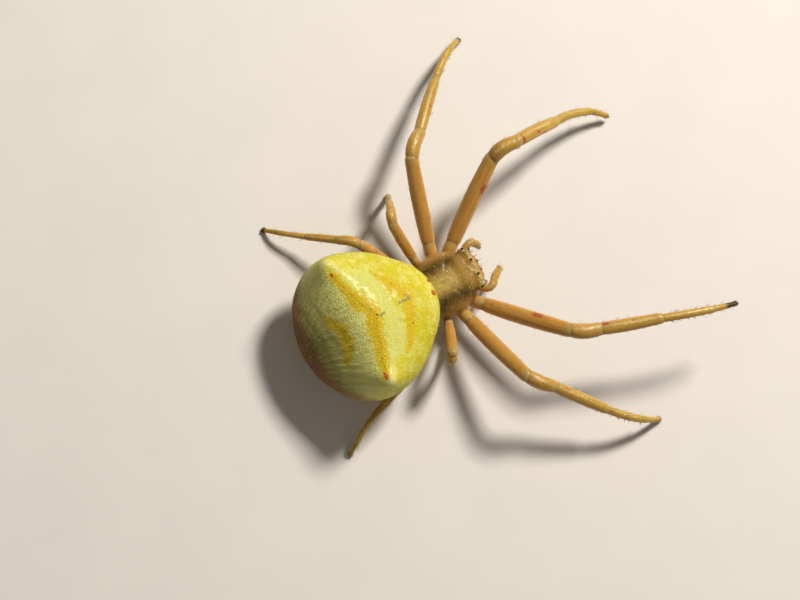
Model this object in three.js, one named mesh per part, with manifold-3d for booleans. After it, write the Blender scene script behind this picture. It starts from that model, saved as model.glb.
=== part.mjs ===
// Female crab spider at life size, standing on its six hind feet with both front legs lifted.
// Millimetres, +Z up, head towards -Y, the animal's left side towards +X.
import * as THREE from "three";
import { mergeVertices } from "three/addons/utils/BufferGeometryUtils.js";
import Module from "manifold-3d";

const wasm = await Module();
wasm.setup();

// Driving dimensions of the head and thorax
const carapaceWidth = 3.0;
const carapaceLength = 3.1;
const marginHeight = 1.65;
const crownHeight = 2.8;
const sternumHeight = 0.9;
const eyeCorner = [0.8, -1.2, 2.72];
const gap = 0.28;

// Driving dimensions of the abdomen
const abdomenFrontY = 0.98;
const abdomenLength = 6.85;
const abdomenHalfWidth = 3.48;
const tubercle = { x: 3.0, y: 5.45, z: 3.75, rise: 0.62, tip: 0.42 };

// Lengths of femur with trochanter, patella, tibia, metatarsus and tarsus of each leg pair
const segmentLengths = {
  1: [4.95, 1.45, 2.9, 2.6, 1.2],
  2: [4.6, 1.45, 2.9, 2.5, 1.2],
  3: [2.3, 0.75, 1.2, 0.9, 0.7],
  4: [2.8, 1.05, 1.6, 1.45, 0.8],
};
// Radii at the start, middle and end of each of those segments
const segmentRadii = {
  1: [[0.33, 0.39, 0.34], [0.33, 0.36, 0.31], [0.29, 0.31, 0.25], [0.2, 0.2, 0.17], [0.15, 0.14, 0.1]],
  2: [[0.32, 0.37, 0.32], [0.31, 0.34, 0.29], [0.26, 0.28, 0.23], [0.19, 0.19, 0.16], [0.14, 0.13, 0.13]],
  3: [[0.23, 0.26, 0.24], [0.23, 0.24, 0.21], [0.19, 0.19, 0.16], [0.15, 0.14, 0.13], [0.12, 0.12, 0.13]],
  4: [[0.22, 0.26, 0.24], [0.23, 0.24, 0.21], [0.19, 0.19, 0.16], [0.14, 0.13, 0.12], [0.12, 0.11, 0.13]],
};
// Where each leg leaves the body, on the left side
const hips = {
  1: [1.25, -0.7, 1.5],
  2: [1.55, 0.0, 1.5],
  3: [1.6, 0.8, 1.4],
  4: [1.15, 1.45, 1.3],
};
// Pose of each leg: joint heights above the floor, and the heading of each segment in degrees,
// counted from straight ahead towards the animal's left
const footHeight = 0.1;
const stances = {
  leg_left_1: { pair: 1, heights: [3.5, 4.0, 2.5, 1.1, 0.4], headings: [38, 6, 4, -4, -30] },
  leg_left_2: { pair: 2, heights: [3.15, 2.9, 2.1, 0.95, footHeight], headings: [77, 45, 43, 35, 20] },
  leg_left_3: { pair: 3, heights: [2.65, 2.6, 1.55, 0.72, footHeight], headings: [102, 68, 53, 48, 38] },
  leg_left_4: { pair: 4, heights: [2.1, 1.9, 1.15, 0.6, footHeight], headings: [122, 138, 140, 139, 132] },
  leg_right_1: { pair: 1, heights: [3.6, 3.65, 3.85, 3.8, 3.6], headings: [-51, -26, -18, -17, -12] },
  leg_right_2: { pair: 2, heights: [3.4, 3.1, 2.15, 0.95, footHeight], headings: [-80, -46, -46, -35, -15] },
  leg_right_3: { pair: 3, heights: [2.9, 2.2, 1.15, 0.6, footHeight], headings: [-121, -110, 40, 60, 60] },
  leg_right_4: { pair: 4, heights: [0.95, 1.25, 1.15, 0.7, footHeight], headings: [-143, -150, -160, -150, -145] },
};
const palpPaths = {
  palp_left: [[0.98, -1.42, 1.5], [1.2, -1.82, 1.6], [1.15, -2.12, 1.35], [0.95, -2.38, 0.88]],
  palp_right: [[-0.98, -1.4, 1.6], [-1.1, -1.72, 1.72], [-0.8, -2.12, 1.5], [-0.42, -2.74, 1.02]],
};
const palpRadii = [0.16, 0.18, 0.17, 0.12];
const jawRadii = [0.25, 0.27, 0.2];

// Eyes: left side of each pair, set on the front edge of the head
const eyeRadius = 0.09;
const eyeGap = 0.05;
const eyes = {
  eye_back_outer: [1.0, -1.12, 2.8],
  eye_back_inner: [0.36, -1.24, 2.84],
  eye_front_outer: [0.84, -1.42, 2.66],
  eye_front_inner: [0.22, -1.52, 2.58],
};

// Colours of the finishes
const finishes = {
  amber: new THREE.MeshStandardMaterial({ color: 0xc9953f, roughness: 0.35, metalness: 0 }),
  lemon: new THREE.MeshStandardMaterial({ color: 0xd8cc4a, roughness: 0.42, metalness: 0 }),
  horn: new THREE.MeshStandardMaterial({ color: 0xa8742c, roughness: 0.35, metalness: 0 }),
  eyeBlack: new THREE.MeshStandardMaterial({ color: 0x17120d, roughness: 0.1, metalness: 0 }),
};

// Joining and cutting
function solidOf(geometry) {
  const bare = geometry.index ? geometry.toNonIndexed() : geometry.clone();
  for (const name of Object.keys(bare.attributes)) {
    if (name !== "position") bare.deleteAttribute(name);
  }
  const merged = mergeVertices(bare, 1e-4);
  return new wasm.Manifold(new wasm.Mesh({
    numProp: 3,
    vertProperties: new Float32Array(merged.attributes.position.array),
    triVerts: new Uint32Array(merged.index.array),
  }));
}

function largestBody(solid) {
  return solid.decompose().reduce((a, b) => (a.volume() > b.volume() ? a : b));
}

function joined(solids) {
  return largestBody(solids.reduce((a, b) => a.add(b)));
}

function geometryOf(solid) {
  const mesh = solid.getMesh();
  const geometry = new THREE.BufferGeometry();
  geometry.setAttribute("position", new THREE.BufferAttribute(mesh.vertProperties, 3));
  geometry.setIndex(new THREE.BufferAttribute(mesh.triVerts, 1));
  return geometry.toNonIndexed();
}

// A round-ended spindle between two points, flattened across its length
function spindle(from, to, radii, sides, flatness = 1) {
  const start = new THREE.Vector3(...from);
  const along = new THREE.Vector3(...to).sub(start);
  const length = along.length();
  const [r0, r1, r2] = radii;
  const diagonal = Math.SQRT1_2;
  const profile = [new THREE.Vector2(0, -r0), new THREE.Vector2(r0 * diagonal, -r0 * diagonal)];
  for (const t of [0, 0.14, 0.5, 0.86, 1]) {
    const belly = (r1 - (r0 + r2) / 2) * (1 - Math.abs(2 * t - 1) ** 2.6);
    profile.push(new THREE.Vector2(r0 * (1 - t) + r2 * t + belly, length * t));
  }
  profile.push(new THREE.Vector2(r2 * diagonal, length + r2 * diagonal), new THREE.Vector2(0, length + r2));
  const geometry = new THREE.LatheGeometry(profile, sides);
  const dir = along.normalize();
  const side = new THREE.Vector3().crossVectors(dir, new THREE.Vector3(0, 0, 1)).normalize();
  const up = new THREE.Vector3().crossVectors(side, dir);
  const matrix = new THREE.Matrix4().makeBasis(side, dir, up.multiplyScalar(flatness));
  return solidOf(geometry.applyMatrix4(matrix.setPosition(start)));
}

function ball(centre, radius, columns = 12, rows = 8) {
  const geometry = new THREE.SphereGeometry(radius, columns, rows);
  return solidOf(geometry.translate(...centre));
}

// Everything below the height z
function below(z) {
  const size = 60;
  return solidOf(new THREE.BoxGeometry(size, size, size).translate(0, 0, z - size / 2));
}

// A sphere whose points are moved by a shaping function, poles front and back
function shapedBall(shape, columns, rows) {
  const geometry = new THREE.SphereGeometry(1, columns, rows);
  const position = geometry.attributes.position;
  const point = new THREE.Vector3();
  for (let i = 0; i < position.count; i += 1) {
    point.fromBufferAttribute(position, i);
    position.setXYZ(i, ...shape(point));
  }
  return solidOf(geometry);
}

const bump = (x, width) => Math.exp(-((x / width) ** 2));

// Abdomen: narrow in front, widest at the two tubercles, steep and full behind
function abdomenPoint(d) {
  const s = d.y;
  const halfWidth = abdomenHalfWidth + 0.58 * s - 0.2 * bump(s + 0.72, 0.22);
  const centreZ = 2.45 - 0.3 * s;
  const top = 1.45 + 0.72 * bump(s - 0.25, 0.55) - 0.15 * s;
  const bottom = 1.5 + 0.42 * bump(s - 0.2, 0.65);
  const waist = d.z < 0 ? 1 - 0.16 * Math.sin(Math.PI * Math.min(1, -d.z)) : 1;
  let x = d.x * halfWidth * waist;
  let y = abdomenFrontY + (abdomenLength * (1 + s)) / 2;
  let z = centreZ + d.z * (d.z > 0 ? top : bottom);
  const away = Math.hypot(Math.abs(x) - tubercle.x, y - tubercle.y, z - tubercle.z);
  const lift = tubercle.rise * bump(away, 1.35) + tubercle.tip * bump(away, 0.6);
  x += Math.sign(x) * 0.35 * lift;
  z += 0.92 * lift;
  return [x, y, z];
}

// Carapace: rounded disc with steep sides and a low crown, blunt in front
function carapacePoint(d) {
  const s = d.y;
  const halfWidth = (carapaceWidth / 2) * (1 + 0.06 * s);
  const y = (carapaceLength / 2) * s + 0.05;
  const squared = Math.sign(d.x) * Math.abs(d.x) ** 0.85;
  const crown = crownHeight - marginHeight - 0.12 * (s + 1);
  const z = marginHeight + (d.z > 0 ? Math.abs(d.z) ** 0.8 * crown : -Math.abs(d.z) * 0.5);
  return [squared * halfWidth, y, z];
}

// Head block that carries the eyes, with the low front face under it
function headPoint(d) {
  const squared = (v, power) => Math.sign(v) * Math.abs(v) ** power;
  return [0.95 * squared(d.x, 0.5), -0.85 + 0.72 * squared(d.y, 0.7), 2.12 + 0.72 * squared(d.z, 0.6)];
}

function sternumPoint(d) {
  return [d.x * 1.0, 0.05 + d.y * 1.35, 1.35 + d.z * (1.35 - sternumHeight)];
}

const mirrored = ([x, y, z]) => [-x, y, z];

function cephalothorax() {
  const pieces = [
    shapedBall(carapacePoint, 24, 14),
    shapedBall(headPoint, 14, 10),
    shapedBall(sternumPoint, 14, 8),
    spindle([0, 1.1, 1.75], [0, 1.42, 1.7], [0.3, 0.24, 0.24], 8),
    spindle([0, -1.3, 1.35], [0, -1.45, 1.12], [0.22, 0.22, 0.18], 8),
  ];
  for (const flip of [(p) => p, mirrored]) {
    pieces.push(ball(flip(eyeCorner), 0.26, 10, 8));
    for (const hip of Object.values(hips)) {
      const root = hip.map((v, i) => (i < 2 ? v * 0.45 : 1.25));
      pieces.push(spindle(flip(root), flip(hip), [0.3, 0.31, 0.26], 8));
    }
  }
  const roomFor = [];
  for (const place of Object.values(eyes)) {
    for (const flip of [(p) => p, mirrored]) roomFor.push(ball(flip(place), eyeRadius + eyeGap));
  }
  for (const name of Object.keys(stances)) roomFor.push(...legPieces(name, gap).slice(0, 2));
  for (const name of Object.keys(palpPaths)) roomFor.push(...palpPieces(name, gap).slice(0, 1));
  for (const flip of [(p) => p, mirrored]) roomFor.push(jawPieces(flip, gap)[0]);
  for (const [y, z] of [[-gap, 0], [-0.7 * gap, -0.7 * gap], [0, -gap]]) {
    roomFor.push(shapedBall(abdomenPoint, 24, 16).translate([0, y, z]));
  }
  return largestBody(roomFor.reduce((a, b) => a.subtract(b), joined(pieces)));
}

function legJoints({ pair, heights, headings }, hip) {
  const points = [hip];
  segmentLengths[pair].forEach((length, i) => {
    const [x, y, z] = points[i];
    const run = Math.sqrt(length ** 2 - (heights[i] - z) ** 2);
    const heading = THREE.MathUtils.degToRad(headings[i]);
    points.push([x + run * Math.sin(heading), y - run * Math.cos(heading), heights[i]]);
  });
  return points;
}

// The spindles of one leg from trochanter to tarsus, grown by a margin on every side
function legPieces(name, margin = 0) {
  const stance = stances[name];
  const hip = name.startsWith("leg_left") ? hips[stance.pair] : mirrored(hips[stance.pair]);
  const points = legJoints(stance, hip);
  const toKnee = new THREE.Vector3(...points[1]).sub(new THREE.Vector3(...hip));
  const trochanterEnd = new THREE.Vector3(...hip).addScaledVector(toKnee, 0.12).toArray();
  const grown = (radii) => radii.map((r) => r + margin);
  const pieces = [spindle(hip, trochanterEnd, grown([0.23, 0.26, 0.25]), 8)];
  segmentRadii[stance.pair].forEach((radii, i) => {
    const from = i === 0 ? trochanterEnd : points[i];
    pieces.push(spindle(from, points[i + 1], grown(radii), i === 0 ? 10 : 8, i === 0 ? 0.85 : 0.95));
  });
  return pieces;
}

function leg(name) {
  return largestBody(joined(legPieces(name)).subtract(below(0)));
}

function palpPieces(name, margin = 0) {
  const path = palpPaths[name];
  return path.slice(1).map((to, i) => {
    const radii = [palpRadii[i], palpRadii[i] + 0.01, palpRadii[i + 1]];
    return spindle(path[i], to, radii.map((r) => r + margin), 8);
  });
}

// Stout base and fang of one jaw, under the front of the head
function jawPieces(flip, margin = 0) {
  const grown = jawRadii.map((r) => r + margin);
  return [
    spindle(flip([0.36, -1.45, 1.85]), flip([0.36, -1.62, 1.15]), grown, 10),
    spindle(flip([0.38, -1.66, 1.0]), flip([0.22, -1.66, 0.72]), [0.12, 0.09, 0.06], 6),
  ];
}

function abdomen() {
  const pieces = [shapedBall(abdomenPoint, 44, 28)];
  for (const flip of [(p) => p, mirrored]) {
    pieces.push(spindle(flip([0.16, 6.75, 1.05]), flip([0.2, 7.15, 0.62]), [0.22, 0.2, 0.12], 8));
    pieces.push(spindle(flip([0.12, 7.1, 1.2]), flip([0.15, 7.5, 0.85]), [0.2, 0.16, 0.1], 8));
  }
  return joined(pieces);
}

function mesh(name, solid, material) {
  const piece = new THREE.Mesh(geometryOf(solid), material);
  piece.name = name;
  return piece;
}

const spider = new THREE.Group();
spider.add(mesh("cephalothorax", cephalothorax(), finishes.amber));
spider.add(mesh("abdomen", abdomen(), finishes.lemon));
for (const name of Object.keys(stances)) spider.add(mesh(name, leg(name), finishes.amber));
for (const name of Object.keys(palpPaths)) spider.add(mesh(name, joined(palpPieces(name)), finishes.amber));
spider.add(mesh("chelicera_left", joined(jawPieces((p) => p)), finishes.horn));
spider.add(mesh("chelicera_right", joined(jawPieces(mirrored)), finishes.horn));
for (const [name, place] of Object.entries(eyes)) {
  spider.add(mesh(`${name}_left`, ball(place, eyeRadius, 10, 8), finishes.eyeBlack));
  spider.add(mesh(`${name}_right`, ball(mirrored(place), eyeRadius, 10, 8), finishes.eyeBlack));
}

// Origin on the floor, under the middle of the whole animal
const box = new THREE.Box3().setFromObject(spider);
spider.position.set(-(box.min.x + box.max.x) / 2, -(box.min.y + box.max.y) / 2, -box.min.z);

export default spider;
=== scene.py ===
"""Female crab spider at life size, in the pose of a still museum model.

Lengths are millimetres in the animal's own frame until a mesh is finished: the middle of the
carapace is over x = 0, y = 0, the floor is z = 0, the head points to -Y and the left side to +X.
A finished mesh is then moved into the part's frame, in metres.
"""

from __future__ import annotations

import logging
import math
import random
import sys
from dataclasses import dataclass
from enum import Enum
from typing import ClassVar, Iterable, Sequence

import bmesh
import bpy
import numpy as np
from mathutils import Matrix, Vector, noise


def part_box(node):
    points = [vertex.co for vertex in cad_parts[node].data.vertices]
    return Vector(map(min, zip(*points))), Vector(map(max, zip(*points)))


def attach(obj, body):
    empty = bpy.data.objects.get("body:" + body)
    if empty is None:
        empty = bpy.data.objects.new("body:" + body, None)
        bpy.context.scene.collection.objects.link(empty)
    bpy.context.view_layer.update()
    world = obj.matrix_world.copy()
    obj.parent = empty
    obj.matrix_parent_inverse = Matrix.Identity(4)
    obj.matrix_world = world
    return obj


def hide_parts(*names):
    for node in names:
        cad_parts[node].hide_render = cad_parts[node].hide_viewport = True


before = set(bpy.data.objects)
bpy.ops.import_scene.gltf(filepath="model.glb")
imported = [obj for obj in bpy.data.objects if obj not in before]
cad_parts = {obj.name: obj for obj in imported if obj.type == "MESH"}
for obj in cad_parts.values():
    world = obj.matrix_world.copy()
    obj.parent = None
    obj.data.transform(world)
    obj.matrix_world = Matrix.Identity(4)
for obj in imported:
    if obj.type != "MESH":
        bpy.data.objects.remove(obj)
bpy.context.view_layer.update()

LOG = logging.getLogger("crab_spider")
MM = 0.001
# From the middle of the carapace back to the front of the abdomen, in millimetres.
ABDOMEN_FRONT = 0.98
NO_BEND = Vector((0, 0, 0))


class Side(Enum):
    """The two sides of the animal, with the sign of x on each."""

    LEFT = 1
    RIGHT = -1


def part_offset() -> Vector:
    """Where the animal's own origin lies in the part's frame, in millimetres.

    Returns:
        The offset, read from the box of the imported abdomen.
    """
    low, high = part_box("abdomen")
    return Vector(((low.x + high.x) / 2 / MM, low.y / MM - ABDOMEN_FRONT, 0.0))


OFFSET = part_offset()


def linear(code: str) -> tuple[float, float, float, float]:
    """Turn an sRGB hex colour into linear values.

    Args:
        code: six hex digits.

    Returns:
        Linear red, green and blue, and an alpha of one.
    """
    values = [int(code[i : i + 2], 16) / 255 for i in (0, 2, 4)]
    red, green, blue = (v / 12.92 if v <= 0.04045 else ((v + 0.055) / 1.055) ** 2.4 for v in values)
    return red, green, blue, 1.0


def bump(value, width: float):
    """Smooth hill of height one, for numbers or arrays."""
    return np.exp(-((value / width) ** 2))


def step(value, low: float, high: float):
    """Smooth rise from zero at low to one at high, for numbers or arrays."""
    t = np.clip((value - low) / (high - low), 0.0, 1.0)
    return t * t * (3.0 - 2.0 * t)


def power(value, exponent: float):
    """Signed power, which squares off or sharpens a round form."""
    return np.sign(value) * np.abs(value) ** exponent


def grain(points: np.ndarray, size_mm: float, seed: float = 0.0) -> np.ndarray:
    """Fractal noise of about -1 to 1 at an array of places, with lumps of the given size."""
    return np.array([noise.fractal(Vector(p) / size_mm + Vector((seed, 0, 0)), 1.0, 2.0, 3) for p in points])


@dataclass(frozen=True)
class Camera:
    """The camera and the photograph's framing of the animal."""

    lens_mm: float = 250.0
    sensor_mm: float = 36.0
    image_px: tuple[int, int] = (800, 600)
    carapace_px: tuple[float, float] = (452.0, 281.0)
    px_per_mm: float = 21.5
    target: tuple[float, float, float] = (-0.1, 0.0, 2.6)
    towards_lens: tuple[float, float, float] = (-0.1015, 0.2407, 0.9653)
    image_right: tuple[float, float, float] = (-0.4794, -0.8621, 0.1646)

    def place(self) -> bpy.types.Object:
        """Make the camera at the photograph's viewing angle.

        Returns:
            The camera, set as the scene's own.
        """
        back = Vector(self.towards_lens).normalized()
        up = back.cross(Vector(self.image_right)).normalized()
        right = up.cross(back).normalized()
        width, height = self.image_px
        across = (width / 2 - self.carapace_px[0]) / self.px_per_mm
        down = (height / 2 - self.carapace_px[1]) / self.px_per_mm
        middle = Vector(self.target) + right * across - up * down
        distance = self.lens_mm * (width / self.px_per_mm) / self.sensor_mm
        data = bpy.data.cameras.new("camera")
        data.lens = self.lens_mm
        data.sensor_width = self.sensor_mm
        data.clip_start = 0.001
        data.clip_end = 10.0
        camera = bpy.data.objects.new("camera", data)
        matrix = Matrix((right, up, back)).transposed().to_4x4()
        matrix.translation = (middle + back * distance + OFFSET) * MM
        camera.matrix_world = matrix
        bpy.context.scene.collection.objects.link(camera)
        bpy.context.scene.camera = camera
        return camera


def node(tree: bpy.types.NodeTree, kind: str, sockets: dict | None = None, **settings) -> bpy.types.Node:
    """Add one shader node.

    Args:
        tree: the material's node tree.
        kind: the node's type name.
        sockets: input name or number, and the value or output socket that feeds it.
        settings: the node's own settings.

    Returns:
        The new node.
    """
    made = tree.nodes.new(kind)
    for name, value in settings.items():
        setattr(made, name, value)
    for name, value in (sockets or {}).items():
        if isinstance(value, bpy.types.NodeSocket):
            tree.links.new(value, made.inputs[name])
        else:
            made.inputs[name].default_value = value
    return made


def per_mm(size_mm: float) -> float:
    """Pattern scale in object space for features of a size in millimetres."""
    return 1.0 / (size_mm * MM)


@dataclass(frozen=True)
class Layer:
    """A colour laid over the ones below it where a painted attribute is strong."""

    attribute: str
    colour: str
    strength: float = 1.0
    ragged: float = 0.0
    grain_mm: float = 0.12

    def lay(self, tree: bpy.types.NodeTree, below, place) -> bpy.types.NodeSocket:
        """Mix this colour over the ones below.

        Args:
            tree: the material's node tree.
            below: colour socket of the layers below.
            place: socket with the object coordinates.

        Returns:
            The socket of the mixed colour.
        """
        mask = node(tree, "ShaderNodeAttribute", attribute_name=self.attribute).outputs["Fac"]
        if self.ragged:
            grain = node(tree, "ShaderNodeTexNoise", {
                "Vector": place, "Scale": per_mm(self.grain_mm), "Detail": 4.0, "Roughness": 0.65})
            centred = node(tree, "ShaderNodeMath", {0: grain.outputs["Fac"], 1: 0.5}, operation="SUBTRACT")
            shifted = node(tree, "ShaderNodeMath", {
                0: centred.outputs[0], 1: self.ragged * 2, 2: mask}, operation="MULTIPLY_ADD")
            edge = node(tree, "ShaderNodeMapRange", {
                "Value": shifted.outputs[0], "From Min": 0.3, "From Max": 0.7,
                "To Max": self.strength}, interpolation_type="SMOOTHSTEP")
            mask = edge.outputs["Result"]
        elif self.strength < 1.0:
            mask = node(tree, "ShaderNodeMath", {0: mask, 1: self.strength}, operation="MULTIPLY").outputs[0]
        mixed = node(tree, "ShaderNodeMix", {
            0: mask, 6: below, 7: linear(self.colour)}, data_type="RGBA", clamp_factor=True)
        return mixed.outputs[2]


def new_material(name: str) -> tuple[bpy.types.Material, bpy.types.NodeTree, bpy.types.NodeSocket]:
    """Start an empty node material.

    Args:
        name: the material's name.

    Returns:
        The material, its node tree and its object coordinates.
    """
    material = bpy.data.materials.new(name)
    material.use_nodes = True
    tree = material.node_tree
    tree.nodes.clear()
    return material, tree, node(tree, "ShaderNodeTexCoord").outputs["Object"]


def finish_shader(tree: bpy.types.NodeTree, sockets: dict) -> None:
    """Close a material with one Principled shader fed by the given sockets."""
    shader = node(tree, "ShaderNodeBsdfPrincipled", sockets)
    node(tree, "ShaderNodeOutputMaterial", {"Surface": shader.outputs["BSDF"]})


@dataclass(frozen=True)
class AmberCuticle:
    """Thin translucent chitin: light bleeds through it, and its waxy surface has a tight highlight."""

    base: str = "B08238"
    distal: str = "AC902C"
    ior: float = 1.5
    roughness: float = 0.4
    streak_mm: float = 0.08
    pore_mm: float = 0.07
    relief_mm: float = 0.016
    bleed_mm: float = 0.5
    streak_dark: str = "8A5616"
    streak_light: str = "D09E50"
    layers: tuple[Layer, ...] = (
        Layer("shell", "94712A", 0.92),
        Layer("median", "BAA658", 0.95),
        # Painted light: the sides of each limb are lighter, for light shining through the thin chitin at its
        # edges.
        Layer("edge_glow", "D0A264", 0.55),
        Layer("band", "44340A", 0.92),
        Layer("ridge", "B4A464", 0.8, 0.9, 0.07),
        Layer("blush", "B86A20", 0.75, 0.9, 0.07),
        Layer("pale", "D6B67A", 0.6),
        Layer("rust", "9C3A20", 0.85, 0.55, 0.1),
        Layer("soot", "2E220C", 0.85, 1.1, 0.045),
        Layer("smoke", "2A2114", 0.92, 0.3, 0.1),
        Layer("glint", "F6ECC0", 0.95, 1.5, 0.035),
    )

    def material(self) -> bpy.types.Material:
        """Build the cuticle of head, legs and palps.

        Returns:
            The material.
        """
        made, tree, place = new_material("amber_cuticle")
        tone = node(tree, "ShaderNodeAttribute", attribute_name="tone").outputs["Fac"]
        colour = node(tree, "ShaderNodeMix", {
            0: tone, 6: linear(self.base), 7: linear(self.distal)}, data_type="RGBA").outputs[2]
        course = node(tree, "ShaderNodeAttribute", attribute_name="course").outputs["Vector"]
        streak = node(tree, "ShaderNodeTexNoise", {
            "Vector": course, "Scale": 1.0 / self.streak_mm, "Detail": 5.0, "Roughness": 0.62})
        dark = node(tree, "ShaderNodeMapRange", {
            "Value": streak.outputs["Fac"], "From Min": 0.45, "From Max": 0.75, "To Max": 0.4})
        colour = node(tree, "ShaderNodeMix", {
            0: dark.outputs["Result"], 6: colour, 7: linear(self.streak_dark)}, data_type="RGBA").outputs[2]
        light = node(tree, "ShaderNodeMapRange", {
            "Value": streak.outputs["Fac"], "From Min": 0.5, "From Max": 0.3, "To Max": 0.3})
        colour = node(tree, "ShaderNodeMix", {
            0: light.outputs["Result"], 6: colour, 7: linear(self.streak_light)},
            data_type="RGBA").outputs[2]
        for layer in self.layers:
            colour = layer.lay(tree, colour, place)
        pores = node(tree, "ShaderNodeTexNoise", {
            "Vector": place, "Scale": per_mm(self.pore_mm), "Detail": 3.0, "Roughness": 0.6})
        ripples = node(tree, "ShaderNodeMath", {
            0: streak.outputs["Fac"], 1: 0.8, 2: pores.outputs["Fac"]}, operation="MULTIPLY_ADD")
        relief = node(tree, "ShaderNodeBump", {
            "Strength": 0.5, "Distance": self.relief_mm * MM, "Height": ripples.outputs[0]})
        gloss = node(tree, "ShaderNodeMapRange", {
            "Value": pores.outputs["Fac"], "From Min": 0.3, "From Max": 0.7,
            "To Min": self.roughness - 0.1, "To Max": self.roughness + 0.12})
        finish_shader(tree, {
            "Base Color": colour, "Roughness": gloss.outputs["Result"], "IOR": self.ior,
            "Specular IOR Level": 0.3, "Subsurface Weight": 0.4, "Subsurface Radius": (1.0, 0.55, 0.2),
            "Subsurface Scale": self.bleed_mm * MM, "Coat Weight": 0.12, "Coat Roughness": 0.16,
            "Normal": relief.outputs["Normal"]})
        return made


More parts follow.
